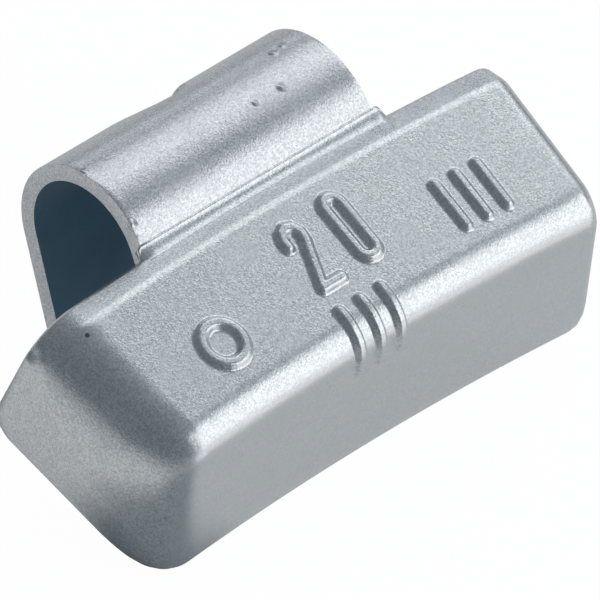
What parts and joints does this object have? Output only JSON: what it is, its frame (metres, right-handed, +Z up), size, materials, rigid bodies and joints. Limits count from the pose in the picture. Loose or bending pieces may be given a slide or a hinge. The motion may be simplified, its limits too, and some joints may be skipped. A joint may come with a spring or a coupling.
{
  "type": "clip-on wheel balance weight",
  "caption": "Curved painted zinc wheel balance weight with a formed spring-steel clip that hooks over the rim flange.",
  "frame": {"origin": "centre of the underside of the bounding box, on the bench that the weight lies on", "axes": "+X along the rim (the length of the casting), +Y from the lower face towards the clip, +Z up from the bench, out of the marked face"},
  "size_m": [0.031, 0.0176, 0.0128],
  "materials": {
    "painted_zinc": "silver metallic paint, satin gloss",
    "spring_steel": "silver metallic paint outside, dark blue-grey inside the bend"
  },
  "bodies": {
    "root": {"zinc_body": "painted_zinc", "rim_clip": "spring_steel"}
  },
  "joints": []
}
